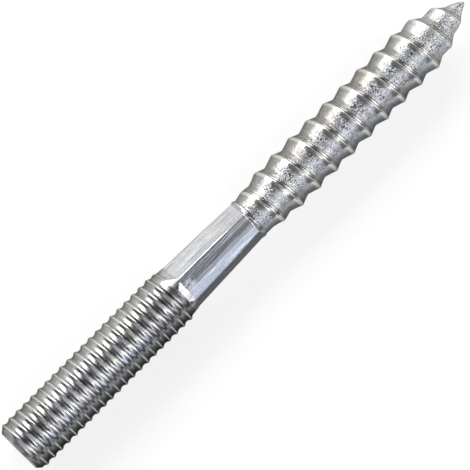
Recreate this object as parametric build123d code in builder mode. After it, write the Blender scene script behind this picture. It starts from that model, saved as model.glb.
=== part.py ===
import os
from math import ceil, cos, floor, pi, radians, sin, tan

from build123d import *

# A hanger bolt: one piece of steel wire, cold formed, with a thread rolled on each end.
# It has a machine thread, a tapered shank pressed to six flats, and a wood thread with a gimlet point.
# Lengths are in millimetres. It is drawn upright from the flat end to the tip, and laid down at the end.
# The angle 0 faces up once it lies.

# Machine thread, M6, with shallow turns
machine_length = 21.9
machine_radius = 3.0
machine_depth = 0.30
machine_pitch = 1.0
machine_first_crest = 0.87
machine_fade_length = 0.7
machine_end_depth = 0.02
chamfer_length = 0.7
chamfer_depth = 0.62

# Shank, tapered, pressed to six flats for a spanner that taper with it, and a round collar at its end
shank_length = 10.45
shank_start_radius = 2.66
shank_end_radius = 2.31
across_flats_start = 4.70
across_flats_end = 4.06
flat_inset = 0.8
flat_ramp_angle = 30
collar_length = 0.5
collar_ramp_angle = 45
flat_count = 6
flat_roll = 14.5

# Wood thread, coarse, on a core that tapers slightly. It leans: its root lies past the middle
# towards the tip, and the middle of a flank stands a share of the depth above the root.
wood_length = 30.65
wood_pitch = 2.43
wood_root_past_crest = 1.07
wood_flank_share = 0.46
wood_first_crest = 1.62
collar_depth = 0.09
wood_root_radius = 2.45
wood_root_end_radius = 2.38
wood_depth = 0.44
wood_start_depth = 0.03
wood_lead_in = 3.2
wood_settle_length = 5.0

# Gimlet point: the core narrows in two stages, and a short cone closes it
point_length = 5.9
point_waist_length = 2.8
point_waist_radius = 1.45
point_end_radius = 0.12
point_end_depth = 0.02
tip_cone_length = 0.5
tip_cone_radius = 0.5

# A thread's lines are splines through points a sixteenth of a turn apart, a quarter turn for each face
faces_per_turn = 4
spans_per_face = 4
spare_turns = 2
small_turn = 1e-4

# Room outside the metal for what is cut away
cut_radius = 4.0

wood_start = machine_length + shank_length
tip = wood_start + wood_length
bolt_axis = Plane(origin=(-tip / 2, 0, machine_radius), x_dir=(0, 0, 1), z_dir=(1, 0, 0))


def between(corners, along):
    """The radius or depth at a place along the bolt, on the straight lines through the corners."""
    if along <= corners[0][0]:
        return corners[0][1]
    for (start, first), (end, last) in zip(corners, corners[1:]):
        if along <= end:
            return first + (last - first) * (along - start) / (end - start)
    return corners[-1][1]


def thread_line(radius_at, first_place, pitch, turns):
    """Spline edges along one line of a thread, a part of a turn each, over a range of turns."""

    def point(turn):
        along = first_place + pitch * turn
        radius = radius_at(along)
        return Vector(radius * cos(2 * pi * turn), radius * sin(2 * pi * turn), along)

    def heading(turn):
        return (point(turn + small_turn) - point(turn - small_turn)) / (2 * small_turn)

    edges = []
    for step in range(turns[0] * faces_per_turn, turns[1] * faces_per_turn):
        places = [(step + part / spans_per_face) / faces_per_turn for part in range(spans_per_face + 1)]
        ends = [heading(places[0]), heading(places[-1])]
        points = [point(place) for place in places]
        edges.append(Edge.make_spline(points, tangents=ends, parameters=places, scale=False))
    return edges


def end_cap(axis_edges, root_edges, profile):
    """Closes one end of a thread: a helical floor under its last turn, and the wall across that turn."""
    floor_faces = [Face.make_surface_from_curves(*pair) for pair in zip(axis_edges, root_edges)]
    axis_points = [edge @ 0 for edge in axis_edges] + [axis_edges[-1] @ 1]
    wall = Face(Wire.make_polygon(profile + axis_points[::-1], close=True))
    return floor_faces + [wall]


def thread_solid(root_at, depth_at, pitch, profile, first_crest, start, end):
    """A right-hand thread, solid to its axis, from before start to past end.

    Its profile is a list of corners from root to root: a place beside the crest, and a share of the depth.
    """
    turns = (
        floor((start - first_crest) / pitch) - spare_turns,
        ceil((end - first_crest) / pitch) + spare_turns,
    )

    def line(side, share):
        def radius_at(along):
            return root_at(along) + share * depth_at(along)

        return thread_line(radius_at, first_crest + side, pitch, turns)

    lines = [line(side, share) for side, share in profile]

    faces = []
    for below, above in zip(lines, lines[1:]):
        faces += [Face.make_surface_from_curves(*pair) for pair in zip(below, above)]

    axis_edges = []
    first_root = first_crest + profile[0][0]
    for step in range(turns[0] * faces_per_turn, (turns[1] + 1) * faces_per_turn):
        places = [first_root + pitch * (step + part) / faces_per_turn for part in (0, 1)]
        axis_edges.append(Edge.make_line((0, 0, places[0]), (0, 0, places[1])))
    faces += end_cap(
        axis_edges[:faces_per_turn], lines[0][:faces_per_turn], [edges[0] @ 0 for edges in lines]
    )
    faces += end_cap(
        axis_edges[-faces_per_turn:], lines[-1][-faces_per_turn:], [edges[-1] @ 1 for edges in lines]
    )
    return Solid(Shell(faces))


def machine_depth_at(along):
    """The last turn of the machine thread fades out where the shank begins."""
    corners = [
        (machine_length - machine_fade_length, machine_depth),
        (machine_length, machine_end_depth),
    ]
    return between(corners, along)


def machine_root_at(along):
    return machine_radius - machine_depth


def wood_root_at(along):
    """The core under the wood thread: it swells from the shank, tapers a little, and ends in the point."""
    corners = [
        (wood_start, shank_end_radius - collar_depth),
        (wood_start + wood_settle_length, wood_root_radius),
        (tip - point_length, wood_root_end_radius),
        (tip - point_waist_length, point_waist_radius),
        (tip, point_end_radius),
    ]
    return between(corners, along)


def wood_depth_at(along):
    """The wood thread grows from the shank over its lead-in, and shrinks again on the point."""
    corners = [
        (wood_start, wood_start_depth),
        (wood_start + wood_lead_in, wood_depth),
        (tip - point_waist_length, wood_depth),
        (tip, point_end_depth),
    ]
    return between(corners, along)


# The machine thread is cut square at both ends and chamfered at the outer one
with BuildPart() as machine_end:
    machine_profile = [(-machine_pitch / 2, 0), (0, 1), (machine_pitch / 2, 0)]
    add(
        thread_solid(
            machine_root_at,
            machine_depth_at,
            machine_pitch,
            machine_profile,
            machine_first_crest,
            0,
            machine_length,
        )
    )
    with BuildSketch(Plane.XZ):
        with BuildLine():
            Polyline(
                (0, 0),
                (machine_radius - chamfer_depth, 0),
                (machine_radius, chamfer_length),
                (cut_radius, chamfer_length + (cut_radius - machine_radius) * chamfer_length / chamfer_depth),
                (cut_radius, machine_length),
                (0, machine_length),
                close=True,
            )
        make_face()
    revolve(axis=Axis.Z, mode=Mode.INTERSECT)

# One jaw of the press that makes the flats, with a ramp at each end up to the round of the shank
with BuildPart() as jaw:
    with BuildSketch(Plane.XZ):
        flat_start = machine_length + flat_inset
        flat_end = wood_start - collar_length
        start_ramp = (cut_radius - across_flats_start / 2) / tan(radians(flat_ramp_angle))
        end_ramp = (cut_radius - across_flats_end / 2) / tan(radians(collar_ramp_angle))
        with BuildLine():
            Polyline(
                (across_flats_start / 2, flat_start),
                (across_flats_end / 2, flat_end),
                (cut_radius, flat_end + end_ramp),
                (cut_radius, flat_start - start_ramp),
                close=True,
            )
        make_face()
    extrude(amount=cut_radius, both=True)

with BuildPart() as shank:
    with BuildSketch(Plane.XZ):
        with BuildLine():
            Polyline(
                (0, machine_length),
                (shank_start_radius, machine_length),
                (shank_end_radius, wood_start),
                (0, wood_start),
                close=True,
            )
        make_face()
    revolve(axis=Axis.Z)
    with PolarLocations(0, flat_count, start_angle=flat_roll):
        add(jaw.part, mode=Mode.SUBTRACT)

# The wood thread is cut square where it leaves the shank, and just short of the tip
with BuildPart() as wood_end:
    wood_root_before_crest = wood_root_past_crest - wood_pitch
    wood_profile = [
        (wood_root_before_crest, 0),
        (wood_root_before_crest / 2, wood_flank_share),
        (0, 1),
        (wood_root_past_crest / 2, wood_flank_share),
        (wood_root_past_crest, 0),
    ]
    add(
        thread_solid(
            wood_root_at,
            wood_depth_at,
            wood_pitch,
            wood_profile,
            wood_start + wood_first_crest,
            wood_start,
            tip,
        )
    )
    with BuildSketch(Plane.XY.offset(wood_start)):
        Circle(cut_radius)
    extrude(amount=wood_length - tip_cone_length, mode=Mode.INTERSECT)

with BuildPart() as tip_cone:
    with BuildSketch(Plane.XZ):
        with BuildLine():
            Polyline(
                (0, tip),
                (tip_cone_radius, tip - tip_cone_length),
                (0, tip - tip_cone_length),
                close=True,
            )
        make_face()
    revolve(axis=Axis.Z)

with BuildPart() as hanger_bolt:
    with Locations(bolt_axis.location):
        add([machine_end.part, shank.part, wood_end.part, tip_cone.part])

os.makedirs("parts", exist_ok=True)
hanger_bolt.part.label = "hanger_bolt"
export_step(hanger_bolt.part, "parts/hanger_bolt.step")
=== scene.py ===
from math import cos, pi, radians, sin, tan

import bpy
import numpy as np
from bpy.props import FloatProperty, FloatVectorProperty, IntProperty, PointerProperty
from mathutils import Matrix, Vector


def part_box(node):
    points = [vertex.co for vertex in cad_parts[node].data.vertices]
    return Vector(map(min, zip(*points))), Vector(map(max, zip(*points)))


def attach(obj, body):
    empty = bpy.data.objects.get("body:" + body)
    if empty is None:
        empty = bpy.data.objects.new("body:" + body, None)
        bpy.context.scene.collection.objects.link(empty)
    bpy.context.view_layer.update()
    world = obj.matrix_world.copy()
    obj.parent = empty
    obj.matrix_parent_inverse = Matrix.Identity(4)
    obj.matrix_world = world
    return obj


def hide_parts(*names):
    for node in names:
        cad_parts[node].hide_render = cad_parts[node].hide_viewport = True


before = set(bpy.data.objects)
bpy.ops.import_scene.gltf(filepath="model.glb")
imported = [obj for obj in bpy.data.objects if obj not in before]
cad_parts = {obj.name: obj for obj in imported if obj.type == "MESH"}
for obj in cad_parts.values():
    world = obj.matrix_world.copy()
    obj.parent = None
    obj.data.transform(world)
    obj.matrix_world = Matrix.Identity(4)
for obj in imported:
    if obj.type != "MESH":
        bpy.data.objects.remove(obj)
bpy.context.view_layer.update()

bl_info = {
    "name": "Hanger bolt",
    "version": (1, 0, 0),
    "blender": (4, 5, 0),
    "location": "3D View > Sidebar > Hanger bolt",
    "description": "Builds a zinc-plated hanger bolt and the table that it lies on",
    "category": "Object",
}

# The scene is in metres. The bolt lies along X with its tip towards +X, and +Y is the upper left
# of the picture.
LOWEST, HIGHEST = (Vector(corner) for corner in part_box("hanger_bolt"))
MM = 0.001
BOLT_LENGTH = HIGHEST.x - LOWEST.x
BOLT_RADIUS = (HIGHEST.z - LOWEST.z) / 2
AXIS_HEIGHT = LOWEST.z + BOLT_RADIUS

# Share of its depth that the last turn of the machine thread loses where it runs out
FADE_SHARE = 0.93

# Where the form passes from the machine thread to the shank and on to the wood thread, beside each joint
TO_SHANK, TO_WOOD = (-0.04 * MM, 0.10 * MM), (-0.06 * MM, 0.10 * MM)

# Rounding of the chamfer's edge and of the tip, rounding of the core's corners, and the tip's least radius
EDGE_BLEND, CORE_ROUND, LEAST_RADIUS = 0.02 * MM, 0.5 * MM, 0.0001 * MM

# Steps over which the slope of the form is taken, along the bolt and round it
SLOPE_STEP, SLOPE_TURN = 0.006 * MM, 0.003

# How far the outermost ring on the flat end turns towards the direction of its rim
RIM_SHARE = 0.25

# Rings of points on the flat end, as shares of its radius, and beside the tip, as distances from it
END_RINGS = np.array([0.35, 0.7, 0.93, 0.985])
TIP_RINGS = np.array([0.32, 0.25, 0.18, 0.12, 0.07, 0.03]) * MM

# Points of a ring between two edges of the shank, and how far from an edge the nearest one is
POINTS_BETWEEN_EDGES, BESIDE_EDGE = 19, radians(0.3)

# Numbers for the materials: one kept at the middle of the flat end and at the tip, and the height on the
# thread that the rest of the flat end is given
AT_MIDDLES, HEIGHT_ON_END = 0.5, 0.5

# The picture is square, and this is where the middle of the flat end is seen in it, in pixels
PICTURE_SIZE, FLAT_END_SEEN = 470, (18.90763, 451.02675)

# Width of the camera's sensor in millimetres, and the nearest and furthest that it sees in metres
SENSOR_WIDTH, NEAREST, FURTHEST = 36, 0.01, 20

# The grey room, and its soft walls: azimuth, elevation and reach in degrees, strength, and tint
ROOM_COLOUR = (0.131, 0.135, 0.144)
NEUTRAL, WARM, COOL = (1.0, 1.0, 1.0), (1.02, 1.0, 0.96), (0.83, 0.94, 1.12)
ROOM_WALLS = [
    (86, 18, 52, 1.20, NEUTRAL),
    (214, 36, 30, 0.66, WARM),
    (326, 40, 34, 0.80, WARM),
    (272, 41, 23, 1.16, COOL),
    (178, 27, 32, 0.45, NEUTRAL),
    (2, 22, 30, -0.09, NEUTRAL),
]

# Soft lamps: azimuth and elevation in degrees, size in metres, power in watts, and the setting that scales it
LAMP_DISTANCE, LAMP_TINT = 0.7, (1.0, 0.99, 0.97)
LAMPS = {
    "key_light": (82, 32, (1.3, 0.42), 4.5, "key"),
    "fill_light": (214, 38, (0.34, 0.20), 0.55, "fill"),
    "edge_light": (327, 38, (0.34, 0.20), 0.60, "fill"),
}

# Ranges across the bolt, in millimetres, over which a mask rises on one of its long sides. The masks lay
# painted light and painted shade on the side towards the key light and on the side away from it.
UPPER_SIDE, LOWER_SIDE, SHADED_SIDE = (0.6, 1.4), (0.2, -0.6), (0.5, -2.4)

# Ranges along the bolt, in millimetres, over which the plate changes towards the tip
PALE_POINT, FROSTED_POINT, BARE_POINT = (22.5, 26.0), (23.0, 26.5), (23.0, 28.0)

# Painted shade at the rims, which stands in for dark reflections there: its colour on the side away from the
# key light, as a share of its colour elsewhere, and the range of Facing, from 0 straight on to 1 edge on,
# over which it sets in
SHADED_SIDE_RIM_SHADE, TURNED_AWAY = 0.22, (0.09, 0.50)

# Middle of the rub mark on the top flat, in millimetres
RUB_MARK = (-8.3, -0.40, 5.3)

# Distance between the fine ridges beside a crest of the wood thread, in millimetres
RIDGE_PITCH = 0.23

# Kinds of socket of a node group, and the places of the colour sockets on a Mix node
VALUE, VECTOR, COLOUR = "NodeSocketFloat", "NodeSocketVector", "NodeSocketColor"
MIX_FACTOR, MIX_FIRST, MIX_SECOND, MIX_RESULT = 0, 6, 7, 2


# Sizes and colours that a user would change


def metres(name, description, default):
    return FloatProperty(name=name, description=description, default=default, unit="LENGTH", precision=6)


def degrees(name, description, default):
    return FloatProperty(name=name, description=description, default=radians(default), subtype="ANGLE")


def portion(name, description, default):
    return FloatProperty(name=name, description=description, default=default, subtype="FACTOR", min=0, max=1)


def colour(name, description, default):
    return FloatVectorProperty(
        name=name, description=description, default=default, subtype="COLOR", size=3, min=0, max=1
    )


def brightness(name, description):
    return FloatProperty(name=name, description=description, default=1.0)


def settings(kind, name, description):
    return PointerProperty(name=name, description=description, type=kind)


class HangerBoltMachineThread(bpy.types.PropertyGroup):
    """Sizes of the machine thread."""

    length: metres("Length", "From the flat end to the shank", 21.9 * MM)
    pitch: metres("Pitch", "From crest to crest", 1.0 * MM)
    depth: metres("Depth", "From root to crest", 0.30 * MM)
    first_crest: metres("First crest", "Place of the first crest on top of the bolt", 0.87 * MM)
    crest_round: metres("Crest rounding", "Width over which a crest is rounded", 0.075 * MM)
    root_round: metres("Root rounding", "Width over which a root is rounded", 0.36 * MM)
    fade: metres("Fade", "Length over which the last turn runs out", 0.7 * MM)
    chamfer_length: metres("Chamfer length", "Length of the chamfer at the flat end", 0.7 * MM)
    chamfer_depth: metres("Chamfer depth", "Depth of the chamfer at the flat end", 0.62 * MM)


class HangerBoltShank(bpy.types.PropertyGroup):
    """Sizes of the pressed shank."""

    length: metres("Length", "From one thread to the other", 10.45 * MM)
    start_radius: metres("Start radius", "Radius beside the machine thread", 2.69 * MM)
    end_radius: metres("End radius", "Radius beside the wood thread", 2.335 * MM)
    flats_start: metres("Across flats, start", "Distance across two flats where they begin", 4.70 * MM)
    flats_end: metres("Across flats, end", "Distance across two flats where they end", 4.06 * MM)
    flat_inset: metres("Flat inset", "From the machine thread to the flats", 0.8 * MM)
    collar: metres("Collar", "Round part left beside the wood thread", 0.5 * MM)
    start_ramp: degrees("Start ramp", "Slope at the start of a flat", 20)
    end_ramp: degrees("End ramp", "Slope at the end of a flat", 45)
    roll: degrees("Roll", "Turn of the first flat away from the top", 14.5)
    edge_round: metres("Edge rounding", "Rounding of the edges between flats", 0.003 * MM)
    crease: degrees("Crease", "Fall of the first flat past the crease that the press left", 8)
    crease_place: metres("Crease place", "From the middle of the first flat to its crease", 0.32 * MM)
    flats: IntProperty(name="Flats", description="Number of flats", default=6, min=3)


class HangerBoltWoodThread(bpy.types.PropertyGroup):
    """Sizes of the wood thread and its point."""

    pitch: metres("Pitch", "From crest to crest", 2.43 * MM)
    depth: metres("Depth", "From root to crest", 0.44 * MM)
    first_crest: metres("First crest", "Place of the first crest on top, from the shank", 1.62 * MM)
    root_past: metres("Root past crest", "From a crest to the next root towards the tip", 1.07 * MM)
    flank: portion("Flank", "Height of a flank's middle as a share of the depth", 0.46)
    crest_round: metres("Crest rounding", "Width over which a crest is rounded", 0.045 * MM)
    root_round: metres("Root rounding", "Width over which a root is rounded", 0.20 * MM)
    start_root: metres("Start root", "Radius of the core beside the shank", 2.22 * MM)
    middle_root: metres("Middle root", "Radius of the core a few turns on", 2.45 * MM)
    end_root: metres("End root", "Radius of the core where the point begins", 2.38 * MM)
    settle: metres("Settle length", "Length over which the core swells", 5.0 * MM)
    start_depth: metres("Start depth", "Depth of the thread beside the shank", 0.03 * MM)
    lead_in: metres("Lead-in", "Length over which the thread grows", 3.2 * MM)
    point: metres("Point", "Length of the gimlet point", 5.9 * MM)
    waist: metres("Waist", "Length of the last part of the point", 2.8 * MM)
    waist_radius: metres("Waist radius", "Radius of the core at the waist", 1.45 * MM)
    tip_radius: metres("Tip radius", "Radius of the core at the tip", 0.12 * MM)


class HangerBoltZinc(bpy.types.PropertyGroup):
    """Colours of the zinc plate."""

    bright: colour("Bright zinc", "Bluish zinc on the open surfaces", (0.53, 0.545, 0.575))
    warm: colour("Warm zinc", "Olive and straw tints of the passivated plate", (0.50, 0.48, 0.43))
    lilac: colour("Lilac zinc", "Pinkish tint of the passivated plate", (0.53, 0.515, 0.55))
    # Shade is laid as painted shade in the thread's roots, in the grooves beside the wood thread's crests, on
    # the wood thread's upper side and in a band along the top flat, and as dull plate in dark streaks and
    # grains
    shade: colour("Shade", "Dull plate in roots, grooves and dark streaks", (0.16, 0.16, 0.16))
    frost: colour("Frost", "Bright crystals and rubbed lines", (0.88, 0.90, 0.93))
    pits: colour("Pits", "Dark grains of the frosted plate", (0.030, 0.031, 0.034))
    # Painted shade that darkens the plate where it turns edge on to the view, standing in for dark
    # reflections at the rims
    rim_shade: colour("Film", "Dull film that shows where the plate turns away", (0.195, 0.19, 0.17))
    # Painted bluish shade, laid on the machine thread's lower side, away from the key light
    cool_shade: colour("Cool zinc", "Bluish plate on the machine thread's lower side", (0.20, 0.23, 0.30))
    # Also laid as a painted highlight along the crests and as painted light on the machine thread's upper
    # side
    crest: colour("Crest", "Straw tint of the rubbed crests", (0.86, 0.83, 0.75))
    polish: portion("Polish", "Roughness of the smooth plate", 0.16)
    frosting: portion("Frosting", "Roughness of the frosted plate", 0.28)


class HangerBoltStage(bpy.types.PropertyGroup):
    """Camera, floor and light."""

    distance: metres("Camera distance", "From the camera to the flat end, along its view", 316 * MM)
    focal: FloatProperty(name="Lens", description="Focal length in millimetres", default=247.5, min=1)
    tilt: degrees("Tilt", "How far the tip leans away from the camera", 6.5)
    turn: degrees("Turn", "Turn of the bolt in the picture", 45.2576)
    floor_size: metres("Floor", "Half the width of the floor", 3.0)
    floor_colour: colour("Floor colour", "Pale table top", (0.45, 0.45, 0.45))
    floor_lift: portion("Floor lift", "What the camera and reflections see on top of the lit floor", 0.66)
    key: brightness("Key light", "Strength of the wide soft light at the upper left")
    fill: brightness("Fill light", "Strength of the two small lights on the lower right, beyond the ends")
    room: brightness("Room light", "Strength of the grey room and its pale walls")


class HangerBoltSizes(bpy.types.PropertyGroup):
    """All sizes, colours and settings of the hanger bolt."""

    machine_thread: settings(HangerBoltMachineThread, "Machine thread", "Sizes of the machine thread")
    shank: settings(HangerBoltShank, "Shank", "Sizes of the shank")
    wood_thread: settings(HangerBoltWoodThread, "Wood thread", "Sizes of the wood thread")
    zinc: settings(HangerBoltZinc, "Zinc", "Colours of the zinc plate")
    stage: settings(HangerBoltStage, "Stage", "Camera, floor and light")


# The form of the bolt: a radius for each place along it, from the flat end, and each angle from its top


def soft_steps(value, start, end):
    """Rises smoothly from 0 at start to 1 at end."""
    t = np.clip((value - start) / (end - start), 0, 1)
    return t * t * (3 - 2 * t)


def soft_min(one, other, width):
    """The smaller of two radii, with the edge between them rounded."""
    return -width * np.logaddexp(-one / width, -other / width)


def rounded(sample, width, parts=9, fall=0.98):
    """Averages sample(shift) over a width, which rounds its corners. The weights fall towards its ends."""
    shifts = np.linspace(-1, 1, parts)
    weights = np.cos(shifts * np.pi / 2 * fall)
    return sum(w * sample(s * width) for s, w in zip(shifts, weights)) / weights.sum()


def thread_height(beside, size, corners):
    """Height of a thread beside its crest, from 0 at the root to 1 at the crest, with rounded corners."""
    places, heights = zip(*corners)

    def plain(shift):
        return np.interp(beside + shift, places, heights, period=size.pitch)

    return rounded(plain, size.root_round + (size.crest_round - size.root_round) * plain(0))


def beside_crest(along, turn_angle, pitch, first_crest, before):
    """Signed distance along the bolt from a crest: it starts at minus before and spans one pitch."""
    place = along - first_crest - pitch * turn_angle / (2 * np.pi) + before
    return place - pitch * np.floor(place / pitch) - before


def machine_radius(along, turn_angle, size):
    """Radius of the chamfered machine thread, distance beside its crest, and height on it."""
    beside = beside_crest(along, turn_angle, size.pitch, size.first_crest, size.pitch / 2)
    height = thread_height(beside, size, [(-size.pitch / 2, 0), (0, 1)])
    depth = size.depth * (1 - FADE_SHARE * soft_steps(along, size.length - size.fade, size.length))
    radius = BOLT_RADIUS - size.depth + depth * height
    chamfer = BOLT_RADIUS - size.chamfer_depth * (1 - along / size.chamfer_length)
    return soft_min(radius, chamfer, EDGE_BLEND), beside, height


def shank_radius(along, turn_angle, size, start):
    """Radius of the tapered round of the shank, pressed to flats that taper with it."""
    round_radius = size.start_radius + (size.end_radius - size.start_radius) * (along - start) / size.length
    flat_start = start + size.flat_inset
    flat_end = start + size.length - size.collar
    on_flat = (along - flat_start) / (flat_end - flat_start)
    flat = (size.flats_start + (size.flats_end - size.flats_start) * on_flat) / 2
    flat = np.maximum(flat, size.flats_start / 2 + (flat_start - along) * tan(size.start_ramp))
    flat = np.maximum(flat, size.flats_end / 2 + (along - flat_end) * tan(size.end_ramp))

    step = 2 * np.pi / size.flats
    from_first = turn_angle - size.roll + step / 2
    off_flat = from_first % step - step / 2
    crease = np.where(np.floor(from_first / step) % size.flats == 0, size.crease, 0)
    fall = np.maximum(flat * np.tan(off_flat) - size.crease_place, 0) * np.tan(crease)
    return soft_min(round_radius, (flat - fall) / np.cos(off_flat), size.edge_round)


def wood_radius(along, turn_angle, size, start, tip):
    """Radius of the wood thread and its point, distance beside its crest, and height on it."""
    before = size.pitch - size.root_past
    beside = beside_crest(along, turn_angle, size.pitch, start + size.first_crest, before)
    corners = [(-before, 0), (-before / 2, size.flank), (0, 1), (size.root_past / 2, size.flank)]
    height = thread_height(beside, size, corners)
    core_corners = [
        (start, size.start_root),
        (start + size.settle, size.middle_root),
        (tip - size.point, size.end_root),
        (tip - size.waist, size.waist_radius),
        (tip, size.tip_radius),
    ]
    depth_corners = [
        (start, size.start_depth),
        (start + size.lead_in, size.depth),
        (tip - size.waist, size.depth),
        (tip, 0),
    ]
    core = rounded(lambda shift: np.interp(along + shift, *zip(*core_corners)), CORE_ROUND)
    radius = core + np.interp(along, *zip(*depth_corners)) * height
    return soft_min(radius, np.maximum(tip - along, 0) + LEAST_RADIUS, EDGE_BLEND), beside, height


def part_starts(sizes):
    """Where the shank and the wood thread start."""
    shank_start = sizes.machine_thread.length
    return shank_start, shank_start + sizes.shank.length


def bolt_form(along, turn_angle, sizes):
    """Radius, distance beside the crest and height on the thread, for arrays of places and angles."""
    shank_start, wood_start = part_starts(sizes)
    first, beside_first, height_first = machine_radius(along, turn_angle, sizes.machine_thread)
    middle = shank_radius(along, turn_angle, sizes.shank, shank_start)
    wood = sizes.wood_thread
    last, beside_last, height_last = wood_radius(along, turn_angle, wood, wood_start, BOLT_LENGTH)
    to_shank = soft_steps(along, *(shank_start + shift for shift in TO_SHANK))
    to_wood = soft_steps(along, *(wood_start + shift for shift in TO_WOOD))
    radius = first + (middle - first) * to_shank
    radius = radius + (last - radius) * to_wood
    beside = np.where(along < (shank_start + wood_start) / 2, np.abs(beside_first), beside_last)
    height = height_first * (1 - to_shank) + height_last * to_wood
    return radius, beside, height


def bolt_normals(along, turn_angle, radius, sizes):
    """Outward directions on the form, from how its radius changes."""

    def radius_at(step, turn):
        return bolt_form(along + step, turn_angle + turn, sizes)[0]

    along_slope = (radius_at(SLOPE_STEP, 0) - radius_at(-SLOPE_STEP, 0)) / (2 * SLOPE_STEP)
    round_slope = (radius_at(0, SLOPE_TURN) - radius_at(0, -SLOPE_TURN)) / (2 * SLOPE_TURN)
    round_slope = round_slope / np.maximum(radius, EDGE_BLEND)
    across, upward = -np.sin(turn_angle), np.cos(turn_angle)
    normal = np.stack([-along_slope, across + round_slope * upward, upward - round_slope * across], axis=-1)
    return normal / np.linalg.norm(normal, axis=-1, keepdims=True)


def stations(shank_start, wood_start):
    """Places along the bolt for the rings of points, closer where the form is finer."""
    # Where each run of rings starts and ends, each with a shift in millimetres, and how many rings it has
    runs = [
        (0, 0.002, shank_start, -0.1, 322),
        (shank_start, -0.06, shank_start, 0.12, 6),
        (shank_start, 0.2, wood_start, -0.12, 64),
        (wood_start, -0.07, wood_start, 0.11, 6),
        (wood_start, 0.18, BOLT_LENGTH, -0.4, 318),
    ]
    places = [
        np.linspace(start + after * MM, end + past * MM, rings) for start, after, end, past, rings in runs
    ]
    return np.concatenate(places + [BOLT_LENGTH - TIP_RINGS])


def ring_angles(shank):
    """Angles of the points round a ring, with a close pair at each edge between two flats."""
    step = 2 * np.pi / shank.flats
    edges = shank.roll + step / 2 + step * np.arange(shank.flats)
    inner = np.linspace(BESIDE_EDGE, step - BESIDE_EDGE, POINTS_BETWEEN_EDGES + 2)
    return (edges[:, None] + inner[None, :]).reshape(-1)


def end_rings(rim_radius, rim_normals):
    """Radii and directions of the rings on the flat end. The outermost leans towards its rim."""
    radius = np.outer(END_RINGS, rim_radius)
    normals = np.zeros(radius.shape + (3,))
    normals[..., 0] = -1
    normals[-1] = normals[-1] * (1 - RIM_SHARE) + rim_normals * RIM_SHARE
    return radius, normals / np.linalg.norm(normals, axis=-1, keepdims=True)


def skin_faces(rows, columns):
    """Quads between the rings, then a fan round the middle of the flat end and one round the tip."""
    index = np.arange(rows * columns).reshape(rows, columns)
    following = np.roll(index, -1, axis=1)
    quads = np.stack([index[:-1], following[:-1], following[1:], index[1:]], axis=-1).reshape(-1, 4)
    end_middle = rows * columns
    fans = [[end_middle, following[0, k], index[0, k]] for k in range(columns)]
    fans += [[end_middle + 1, index[-1, k], following[-1, k]] for k in range(columns)]
    return quads.tolist() + fans


def material_slots(ring_places, columns, starts):
    """The material slot of each face: 0 on the machine thread, 1 on the shank and 2 on the wood thread."""
    slots = np.digitize((ring_places[:-1] + ring_places[1:]) / 2, starts)
    fans = [np.full(columns, slots[0]), np.full(columns, slots[-1])]
    return np.concatenate([np.repeat(slots, columns)] + fans).astype(np.int32)


def store(mesh, name, rings):
    """Keeps a number for each point of the skin, ring by ring, for the materials to read."""
    numbers = np.append(rings.reshape(-1), [AT_MIDDLES, AT_MIDDLES])
    attribute = mesh.attributes.new(name, "FLOAT", "POINT")
    attribute.data.foreach_set("value", numbers.astype(np.float32))


def build_bolt_mesh(sizes):
    """One closed skin: a flat end, rings of points along the bolt, and the tip."""
    starts = part_starts(sizes)
    turns = ring_angles(sizes.shank)
    along, turn_angle = np.meshgrid(stations(*starts), turns, indexing="ij")
    radius, beside, height = bolt_form(along, turn_angle, sizes)
    normals = bolt_normals(along, turn_angle, radius, sizes)
    end_radius, end_normals = end_rings(radius[0], normals[0])

    on_end = np.zeros_like(end_radius)
    ring_along = np.concatenate([on_end, along])
    ring_radius = np.concatenate([end_radius, radius])
    ring_turn = np.concatenate([np.broadcast_to(turns, end_radius.shape), turn_angle])
    x = LOWEST.x + ring_along
    y = -ring_radius * np.sin(ring_turn)
    z = AXIS_HEIGHT + ring_radius * np.cos(ring_turn)
    middles = [[LOWEST.x, 0, AXIS_HEIGHT], [HIGHEST.x, 0, AXIS_HEIGHT]]
    points = np.vstack([np.stack([x, y, z], axis=-1).reshape(-1, 3), middles])
    directions = np.vstack([end_normals.reshape(-1, 3), normals.reshape(-1, 3), [[-1, 0, 0], [1, 0, 0]]])

    mesh = bpy.data.meshes.new("bolt_body")
    mesh.from_pydata(points.tolist(), [], skin_faces(*ring_along.shape))
    mesh.polygons.foreach_set("use_smooth", np.ones(len(mesh.polygons), bool))
    mesh.normals_split_custom_set_from_vertices(directions.tolist())
    store(mesh, "beside_crest", np.concatenate([on_end, beside]))
    store(mesh, "thread_height", np.concatenate([on_end + HEIGHT_ON_END, height]))
    mesh.polygons.foreach_set("material_index", material_slots(ring_along[:, 0], len(turns), starts))
    mesh.update()
    return mesh


# Shader nodes


def add_node(tree, kind, inputs=(), **options):
    """A node with its options, and with values or links for its inputs, by name or number."""
    node = tree.nodes.new(kind)
    for name, value in options.items():
        setattr(node, name, value)
    for key, value in dict(inputs).items():
        socket = node.inputs[key]
        if isinstance(value, bpy.types.NodeSocket):
            tree.links.new(value, socket)
        elif socket.type == "RGBA":
            socket.default_value = (*value, 1)
        else:
            socket.default_value = value
    return node


def maths(tree, operation, *values, clamp=False):
    node = add_node(tree, "ShaderNodeMath", dict(enumerate(values)), operation=operation, use_clamp=clamp)
    return node.outputs[0]


def times(tree, product, *values):
    """The product of masks and numbers."""
    for value in values:
        product = maths(tree, "MULTIPLY", product, value)
    return product


def vector_maths(tree, operation, *values):
    return add_node(tree, "ShaderNodeVectorMath", dict(enumerate(values)), operation=operation).outputs


def scaled(tree, vector, scale):
    return add_node(tree, "ShaderNodeMapping", {"Vector": vector, "Scale": scale}).outputs[0]


def split(tree, vector):
    """The X, Y and Z of a place, by name."""
    return add_node(tree, "ShaderNodeSeparateXYZ", {0: vector}).outputs


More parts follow.
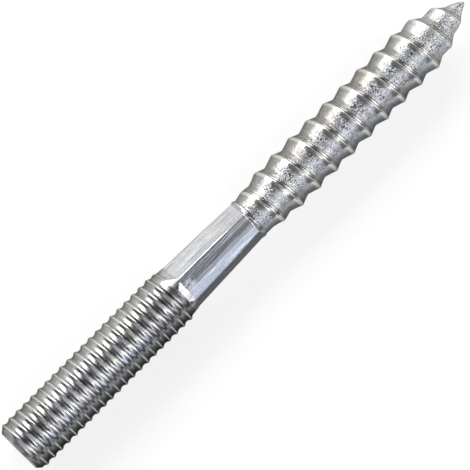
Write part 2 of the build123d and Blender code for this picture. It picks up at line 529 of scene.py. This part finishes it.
def blend(tree, factor, first, second, kind="MIX"):
    """Mixes two colours by a factor from 0 to 1."""
    inputs = {MIX_FACTOR: factor, MIX_FIRST: first, MIX_SECOND: second}
    return add_node(tree, "ShaderNodeMix", inputs, data_type="RGBA", blend_type=kind).outputs[MIX_RESULT]


def lay(tree, base, coats):
    """Lays tones over a colour, one after another, each through its mask and at its strength."""
    for mask, strength, tone in coats:
        base = blend(tree, times(tree, mask, strength), base, tone)
    return base


def spread(tree, value, source, target=(0.0, 1.0)):
    """Maps a value from one range to another, smoothly."""
    names = ("Value", "From Min", "From Max", "To Min", "To Max")
    inputs = dict(zip(names, (value, *source, *target)))
    return add_node(tree, "ShaderNodeMapRange", inputs, interpolation_type="SMOOTHSTEP").outputs["Result"]


def noise(tree, vector, scale, detail=2.0, roughness=0.5, distortion=0.0):
    inputs = {
        "Vector": vector,
        "Scale": scale,
        "Detail": detail,
        "Roughness": roughness,
        "Distortion": distortion,
    }
    return add_node(tree, "ShaderNodeTexNoise", inputs).outputs["Fac"]


# Effects that more than one material uses


def new_group(name, inputs, outputs):
    """A shader node group with named sockets, what comes into it, and where its results go."""
    group = bpy.data.node_groups.new(name, "ShaderNodeTree")
    for direction, sockets in (("INPUT", inputs), ("OUTPUT", outputs)):
        for socket_name, kind in sockets.items():
            group.interface.new_socket(socket_name, in_out=direction, socket_type=kind)
    return group, group.nodes.new("NodeGroupInput").outputs, group.nodes.new("NodeGroupOutput").inputs


def put_group(tree, group, **inputs):
    """Places a group in a material, with its inputs by name, and gives its outputs."""
    return add_node(tree, "ShaderNodeGroup", inputs, node_tree=group).outputs


def zinc_tint_group():
    """Slow drifts between the bluish, straw and lilac tints of passivated zinc."""
    inputs = {"Place": VECTOR, "Scale": VALUE, "Main": COLOUR, "Second": COLOUR, "Third": COLOUR}
    group, given, end = new_group("zinc_tint", inputs, {"Colour": COLOUR})
    place, scale = given["Place"], given["Scale"]
    elsewhere = vector_maths(group, "ADD", place, (31.0, 7.0, 19.0))[0]
    slow = noise(group, place, scale, detail=3, distortion=0.6)
    other = noise(group, elsewhere, scale, detail=3, distortion=0.6)
    tint = blend(group, spread(group, slow, (0.42, 0.66)), given["Main"], given["Second"])
    tint = blend(group, spread(group, other, (0.50, 0.70)), tint, given["Third"])
    fine = noise(group, place, 6.0, detail=4, roughness=0.6)
    shade = spread(group, fine, (0.25, 0.75), (0.86, 1.10))
    grey = add_node(group, "ShaderNodeCombineColor", {0: shade, 1: shade, 2: shade}).outputs[0]
    group.links.new(blend(group, 1.0, tint, grey, "MULTIPLY"), end["Colour"])
    return group


def zinc_frost_group():
    """Small bright crystals and dark grains of rough zinc, in patches, with their height."""
    inputs = {"Place": VECTOR, "Grain": VALUE, "Amount": VALUE}
    group, given, end = new_group("zinc_frost", inputs, {"Bright": VALUE, "Dark": VALUE, "Height": VALUE})
    place, grain, amount = given["Place"], given["Grain"], given["Amount"]
    coarse = noise(group, place, grain, detail=4, roughness=0.66, distortion=0.35)
    patches = noise(group, place, times(group, grain, 0.15), detail=2)
    busy = times(group, spread(group, patches, (0.38, 0.60)), amount)
    cells = add_node(group, "ShaderNodeTexVoronoi", {"Vector": place, "Scale": grain}).outputs["Distance"]
    height = maths(group, "ADD", coarse, times(group, cells, 0.35))
    group.links.new(times(group, spread(group, coarse, (0.515, 0.56)), busy), end["Bright"])
    group.links.new(times(group, spread(group, coarse, (0.475, 0.425)), busy), end["Dark"])
    group.links.new(times(group, height, amount), end["Height"])
    return group


def drawn_lines_group():
    """Long fine lines that a die leaves. Place is scaled up across the lines and down along them."""
    group, given, end = new_group("drawn_lines", {"Place": VECTOR}, {"Line": VALUE, "Height": VALUE})
    fine = noise(group, given["Place"], 1.0, detail=3, roughness=0.7)
    broad = noise(group, given["Place"], 0.28, detail=1)
    group.links.new(spread(group, fine, (0.51, 0.63)), end["Line"])
    group.links.new(maths(group, "ADD", times(group, fine, 0.6), broad), end["Height"])
    return group


# Materials


def new_zinc(name):
    """A metal material: its nodes, its shader, and its place in millimetres, whole and split."""
    material = bpy.data.materials.new(name)
    material.use_nodes = True
    tree = material.node_tree
    tree.nodes.clear()
    shader = add_node(tree, "ShaderNodeBsdfPrincipled", {"Specular Tint": (0.30, 0.30, 0.30)})
    add_node(tree, "ShaderNodeOutputMaterial", {"Surface": shader.outputs[0]})
    place = scaled(tree, tree.nodes.new("ShaderNodeTexCoord").outputs["Object"], (1 / MM, 1 / MM, 1 / MM))
    return material, tree, shader, place, split(tree, place)


def read_thread(tree):
    """Height on the thread, from 0 at the root to 1 at the crest, and millimetres beside the crest."""
    names = ("thread_height", "beside_crest")
    nodes = [add_node(tree, "ShaderNodeAttribute", attribute_name=name) for name in names]
    height, beside = (node.outputs["Fac"] for node in nodes)
    return height, times(tree, beside, 1 / MM)


def worn_patches(tree, place, mask, strengths):
    """A mask broken up by slow noise, where crests are rubbed more or less."""
    return times(tree, mask, spread(tree, noise(tree, place, 1.8), (0.36, 0.60), strengths))


def streak(tree, axes, middle, reach):
    """A streak along the top flat, at a place across the bolt in millimetres."""
    aside = maths(tree, "ABSOLUTE", maths(tree, "SUBTRACT", axes["Y"], middle))
    on_top = spread(tree, axes["Z"], (3.0, 4.0))
    return times(tree, spread(tree, aside, (reach, 0.3 * reach)), on_top)


def scatter_light(tree, shader, mask, metallic):
    """Makes rough or rubbed plate scatter light, by less Metallic as the mask rises."""
    tree.links.new(spread(tree, mask, (0.0, 1.0), metallic), shader.inputs["Metallic"])


def finish_zinc(tree, shader, axes, base, rim_shade, rim_shade_share, roughness, relief, depth):
    """Connects colour, roughness and relief to the shader, with painted shade where the plate turns edge on
    to the view, which stands in for dark reflections at the rims.

    This painted shade is darker and stronger on the long side of the bolt away from the key light, and weak
    on the point.
    """
    # Painted rim shade: darker and stronger on the side away from the key light, weaker on the point
    on_shaded_side = spread(tree, axes["Y"], SHADED_SIDE)
    rim_shade = blend(tree, on_shaded_side, rim_shade, [SHADED_SIDE_RIM_SHADE * part for part in rim_shade])
    by_side = spread(tree, on_shaded_side, (0.0, 1.0), (0.70, 1.0))
    by_place = spread(tree, axes["X"], BARE_POINT, (1.0, 0.35))
    facing = add_node(tree, "ShaderNodeLayerWeight").outputs["Facing"]
    rim_shade_mask = times(tree, spread(tree, facing, TURNED_AWAY), times(tree, rim_shade_share, by_side, by_place))
    bump = add_node(tree, "ShaderNodeBump", {"Height": relief, "Distance": depth})
    tree.links.new(blend(tree, rim_shade_mask, base, rim_shade), shader.inputs["Base Color"])
    tree.links.new(roughness, shader.inputs["Roughness"])
    tree.links.new(bump.outputs[0], shader.inputs["Normal"])


def machine_thread_zinc(zinc, groups):
    """Smooth plate with paler crests, partly rubbed and partly a painted highlight, painted shade in the
    roots, painted light on the upper side, bluish painted shade on the lower side, and streaks that follow
    the turns.
    """
    material, tree, shader, place, axes = new_zinc("zinc_on_machine_thread")
    height, beside = read_thread(tree)
    tint = put_group(
        tree, groups["tint"], Place=place, Scale=0.45, Main=zinc.bright, Second=zinc.warm, Third=zinc.lilac
    )["Colour"]
    frost = put_group(tree, groups["frost"], Place=place, Grain=5.0, Amount=0.40)
    follow_turns = {0: times(tree, beside, 5.0), 1: times(tree, axes["Y"], 0.5), 2: axes["X"]}
    turn_place = add_node(tree, "ShaderNodeCombineXYZ", follow_turns).outputs[0]
    marks = put_group(tree, groups["lines"], Place=turn_place)
    on_crest = spread(tree, height, (0.78, 0.93))
    worn = worn_patches(tree, place, on_crest, strengths=(0.35, 1.0))
    coats = [
        # Painted light on the upper side, towards the key light, and bluish painted shade on the lower side
        (spread(tree, axes["Y"], UPPER_SIDE), 0.22, zinc.crest),
        (spread(tree, axes["Y"], LOWER_SIDE), 0.42, zinc.cool_shade),
        # Painted shade in the roots of the thread
        (spread(tree, height, (0.34, 0.02)), 0.62, zinc.shade),
        (frost["Dark"], 0.7, zinc.shade),
        (frost["Bright"], 0.7, zinc.frost),
        (spread(tree, marks["Height"], (0.80, 0.66)), 0.50, zinc.shade),
        # Paler crests: partly rubbed plate, partly a painted highlight along the crests
        (worn, 0.80, zinc.crest),
        (marks["Line"], 0.40, zinc.frost),
    ]
    scatter = maths(tree, "MAXIMUM", frost["Bright"], times(tree, worn, 0.6))
    scatter_light(tree, shader, scatter, metallic=(1.0, 0.45))
    roughness = spread(tree, height, (0.05, 0.9), (zinc.frosting - 0.08, zinc.polish))
    relief = maths(tree, "ADD", times(tree, marks["Height"], 0.7), times(tree, frost["Height"], 0.45))
    rim_shade_share = spread(tree, on_crest, (0.0, 1.0), (0.90, 0.42))
    base = lay(tree, tint, coats)
    finish_zinc(tree, shader, axes, base, zinc.rim_shade, rim_shade_share, roughness, relief, depth=0.024 * MM)
    return material


def shank_zinc(zinc, groups):
    """Plate with lines drawn along the flats, painted light on its upper side, and on the top flat a pale
    rubbed streak, the rub mark, and a darker streak of painted shade.
    """
    material, tree, shader, place, axes = new_zinc("zinc_on_shank")
    tint = put_group(
        tree, groups["tint"], Place=place, Scale=0.22, Main=zinc.bright, Second=zinc.lilac, Third=zinc.warm
    )["Colour"]
    frost = put_group(tree, groups["frost"], Place=place, Grain=3.0, Amount=0.25)
    lines = put_group(tree, groups["lines"], Place=scaled(tree, place, (0.13, 6.5, 6.5)))
    from_mark = vector_maths(tree, "DISTANCE", place, RUB_MARK)["Value"]
    patchy = spread(tree, noise(tree, place, 2.6, detail=4), (0.40, 0.54))
    smudge = times(tree, spread(tree, from_mark, (0.95, 0.30)), patchy)
    coats = [
        (spread(tree, lines["Height"], (0.74, 0.60)), 0.55, zinc.shade),
        # Painted light on the upper side, towards the key light
        (spread(tree, axes["Y"], UPPER_SIDE), 0.22, zinc.frost),
        (lines["Line"], 0.70, zinc.frost),
        (frost["Dark"], 0.5, zinc.shade),
        # A darker band along the top flat: painted shade, which stands in for a dark reflection there
        (streak(tree, axes, middle=-0.22, reach=0.34), 0.45, zinc.shade),
        # A pale streak that the press rubbed along the top flat
        (streak(tree, axes, middle=-0.58, reach=0.11), 0.90, zinc.frost),
        (smudge, 0.8, zinc.frost),
    ]
    scatter_light(tree, shader, smudge, metallic=(1.0, 0.35))
    roughness = spread(tree, frost["Height"], (0.0, 0.3), (zinc.polish - 0.04, zinc.polish + 0.08))
    relief = maths(tree, "ADD", lines["Height"], times(tree, frost["Height"], 0.4))
    rim_shade_share = 0.60
    base = lay(tree, tint, coats)
    finish_zinc(tree, shader, axes, base, zinc.rim_shade, rim_shade_share, roughness, relief, depth=0.034 * MM)
    return material


def wood_thread_zinc(zinc, groups):
    """Frosted, speckled plate, smoother on its crests, with fine ridges beside them. Painted shade lies in
    the grooves between the ridges and a painted highlight along the crests; the upper side gets warm painted
    light and painted shade, and the lower side painted light.
    """
    material, tree, shader, place, axes = new_zinc("frosted_zinc_on_wood_thread")
    height, beside = read_thread(tree)
    tint = put_group(
        tree, groups["tint"], Place=place, Scale=0.40, Main=zinc.bright, Second=zinc.lilac, Third=zinc.warm
    )["Colour"]

    off_middle = maths(tree, "ABSOLUTE", maths(tree, "ADD", axes["Y"], 0.15))
    rough = spread(tree, height, (0.85, 0.40), (0.12, 1.0))
    rough = times(tree, rough, spread(tree, off_middle, (0.9, 1.9), (1.0, 0.45)))
    rough = maths(tree, "MAXIMUM", rough, spread(tree, axes["X"], FROSTED_POINT, (0.0, 0.9)))
    frost = put_group(tree, groups["frost"], Place=place, Grain=6.0, Amount=rough)

    beside_crests = times(tree, spread(tree, beside, (0.02, 0.10)), spread(tree, beside, (0.62, 0.48)))
    beside_crests = times(tree, beside_crests, spread(tree, height, (0.40, 0.55)))
    ridges = maths(tree, "SINE", times(tree, beside, 2 * pi / RIDGE_PITCH))
    grooves = times(tree, spread(tree, ridges, (0.0, -0.8)), beside_crests)

    on_upper_side = spread(tree, axes["Y"], UPPER_SIDE)
    on_crest = spread(tree, height, (0.72, 0.90))
    on_point = spread(tree, axes["X"], PALE_POINT)
    coats = [
        # Warm painted light and painted shade on the upper side, towards the key light, and painted light on
        # the lower side
        (on_upper_side, 0.60, zinc.warm),
        (spread(tree, axes["Y"], LOWER_SIDE), 0.60, zinc.frost),
        (on_upper_side, 0.20, zinc.shade),
        (on_point, 0.4, zinc.frost),
        (frost["Dark"], 1.0, zinc.pits),
        (frost["Bright"], 1.0, zinc.frost),
        # A painted straw highlight along the crests
        (on_crest, 0.6, zinc.crest),
        # Painted shade in the grooves between the fine ridges beside the crests
        (grooves, 0.85, zinc.shade),
    ]
    on_thin_crest = spread(tree, height, (0.88, 0.97))
    worn = worn_patches(tree, place, on_thin_crest, strengths=(0.15, 0.5))
    scatter = maths(tree, "MAXIMUM", times(tree, frost["Bright"], rough), worn)
    scatter = maths(tree, "MAXIMUM", scatter, times(tree, on_point, 0.14))
    scatter_light(tree, shader, scatter, metallic=(0.93, 0.28))
    roughness = spread(tree, rough, (0.0, 1.0), (zinc.polish - 0.02, zinc.frosting - 0.06))
    relief = maths(tree, "ADD", frost["Height"], times(tree, noise(tree, place, 1.6), 0.3))
    relief = maths(tree, "ADD", relief, times(tree, ridges, beside_crests, 0.10))
    rim_shade_share = spread(tree, on_crest, (0.0, 1.0), (0.78, 0.40))
    base = lay(tree, tint, coats)
    finish_zinc(tree, shader, axes, base, zinc.rim_shade, rim_shade_share, roughness, relief, depth=0.055 * MM)
    return material


# The stage


def make_floor(scene, stage):
    """A pale table top, which the camera and reflections see as nearly white."""
    half = stage.floor_size
    corners = [(x, y, LOWEST.z) for x, y in ((-half, -half), (half, -half), (half, half), (-half, half))]
    mesh = bpy.data.meshes.new("floor")
    mesh.from_pydata(corners, [], [(0, 1, 2, 3)])
    material = bpy.data.materials.new("pale_table")
    material.use_nodes = True
    tree = material.node_tree
    shader = tree.nodes["Principled BSDF"]
    shader.inputs["Base Color"].default_value = (*stage.floor_colour, 1)
    shader.inputs["Roughness"].default_value = 0.9
    shader.inputs["Specular IOR Level"].default_value = 0.0
    shader.inputs["Emission Color"].default_value = (1, 1, 1, 1)
    rays = tree.nodes.new("ShaderNodeLightPath").outputs
    seen = maths(tree, "ADD", rays["Is Camera Ray"], rays["Is Glossy Ray"])
    seen = maths(tree, "ADD", seen, rays["Is Transmission Ray"], clamp=True)
    tree.links.new(times(tree, seen, stage.floor_lift), shader.inputs["Emission Strength"])
    mesh.materials.append(material)
    floor = bpy.data.objects.new("floor", mesh)
    scene.collection.objects.link(floor)


def heading(azimuth, elevation):
    """Direction from the bolt, in degrees, with the azimuth counted from +X towards +Y."""
    around, up = radians(azimuth), radians(elevation)
    return Vector((cos(up) * cos(around), cos(up) * sin(around), sin(up)))


def make_room(scene, stage):
    """A grey room round the table, with soft pale walls and a slightly darker one past the tip."""
    world = bpy.data.worlds.new("room")
    world.use_nodes = True
    tree = world.node_tree
    tree.nodes.clear()
    direction = tree.nodes.new("ShaderNodeTexCoord").outputs["Generated"]
    seen = ROOM_COLOUR
    for azimuth, elevation, reach, strength, tint in ROOM_WALLS:
        towards = vector_maths(tree, "DOT_PRODUCT", direction, heading(azimuth, elevation))["Value"]
        wall = spread(tree, towards, (cos(radians(reach)), 1.0), (0.0, strength))
        seen = vector_maths(tree, "MULTIPLY_ADD", wall, tint, seen)[0]
    background = add_node(tree, "ShaderNodeBackground", {"Color": seen, "Strength": stage.room})
    add_node(tree, "ShaderNodeOutputWorld", {"Surface": background.outputs[0]})
    scene.world = world


def make_lamps(scene, stage):
    """Rectangular lamps that look at the bolt."""
    for name, (azimuth, elevation, size, power, setting) in LAMPS.items():
        lamp = bpy.data.lights.new(name, "AREA")
        lamp.shape = "RECTANGLE"
        lamp.size, lamp.size_y = size
        lamp.energy = power * getattr(stage, setting)
        lamp.color = LAMP_TINT
        holder = bpy.data.objects.new(name, lamp)
        holder.location = heading(azimuth, elevation) * LAMP_DISTANCE
        holder.rotation_euler = (-holder.location).to_track_quat("-Z", "Y").to_euler()
        scene.collection.objects.link(holder)


def make_camera(scene, stage):
    """Sets the camera by where the flat end is seen in the picture, and how the bolt is turned there."""
    focal = stage.focal / SENSOR_WIDTH * PICTURE_SIZE
    right, down = ((seen - PICTURE_SIZE / 2) / focal * stage.distance for seen in FLAT_END_SEEN)
    from_camera = Vector((right, -down, -stage.distance))
    along = Vector(
        (cos(stage.tilt) * cos(stage.turn), cos(stage.tilt) * sin(stage.turn), -sin(stage.tilt))
    )
    up = (Vector((0, 0, 1)) - along * along.z).normalized()
    to_world = Matrix((along, up.cross(along), up))
    camera = bpy.data.cameras.new("camera")
    camera.lens = stage.focal
    camera.sensor_width = SENSOR_WIDTH
    camera.clip_start, camera.clip_end = NEAREST, FURTHEST
    holder = bpy.data.objects.new("camera", camera)
    place = Vector((LOWEST.x, 0, AXIS_HEIGHT)) - to_world @ from_camera
    holder.matrix_world = Matrix.Translation(place) @ to_world.to_4x4()
    scene.collection.objects.link(holder)
    scene.camera = holder


class HANGER_BOLT_OT_make_body(bpy.types.Operator):
    """Build the bolt, with its two threads and its pressed shank, in zinc-plated steel"""

    bl_idname = "hanger_bolt.make_body"
    bl_label = "Make the bolt"
    bl_options = {"REGISTER", "UNDO"}

    def execute(self, context):
        sizes = context.scene.hanger_bolt
        groups = {"tint": zinc_tint_group(), "frost": zinc_frost_group(), "lines": drawn_lines_group()}
        mesh = build_bolt_mesh(sizes)
        for make in (machine_thread_zinc, shank_zinc, wood_thread_zinc):
            mesh.materials.append(make(sizes.zinc, groups))
        body = bpy.data.objects.new("bolt_body", mesh)
        context.scene.collection.objects.link(body)
        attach(body, "root")
        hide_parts("hanger_bolt")
        return {"FINISHED"}


class HANGER_BOLT_OT_make_stage(bpy.types.Operator):
    """Lay out the pale floor, the soft light and the camera"""

    bl_idname = "hanger_bolt.make_stage"
    bl_label = "Make the stage"
    bl_options = {"REGISTER", "UNDO"}

    def execute(self, context):
        for make in (make_floor, make_room, make_lamps, make_camera):
            make(context.scene, context.scene.hanger_bolt.stage)
        context.scene.view_settings.view_transform = "Standard"
        return {"FINISHED"}


class HANGER_BOLT_PT_sidebar(bpy.types.Panel):
    """Lists the steps that build the bolt."""

    bl_idname = "HANGER_BOLT_PT_sidebar"
    bl_label = "Hanger bolt"
    bl_space_type = "VIEW_3D"
    bl_region_type = "UI"
    bl_category = "Hanger bolt"

    def draw(self, context):
        for operator in (HANGER_BOLT_OT_make_body, HANGER_BOLT_OT_make_stage):
            self.layout.operator(operator.bl_idname)


CLASSES = (
    HangerBoltMachineThread,
    HangerBoltShank,
    HangerBoltWoodThread,
    HangerBoltZinc,
    HangerBoltStage,
    HangerBoltSizes,
    HANGER_BOLT_OT_make_body,
    HANGER_BOLT_OT_make_stage,
    HANGER_BOLT_PT_sidebar,
)


def register():
    for item in CLASSES:
        bpy.utils.register_class(item)
    bpy.types.Scene.hanger_bolt = PointerProperty(type=HangerBoltSizes)


def unregister():
    del bpy.types.Scene.hanger_bolt
    for item in reversed(CLASSES):
        bpy.utils.unregister_class(item)


def main():
    register()
    bpy.ops.hanger_bolt.make_body()
    bpy.ops.hanger_bolt.make_stage()


if __name__ == "__main__":
    main()
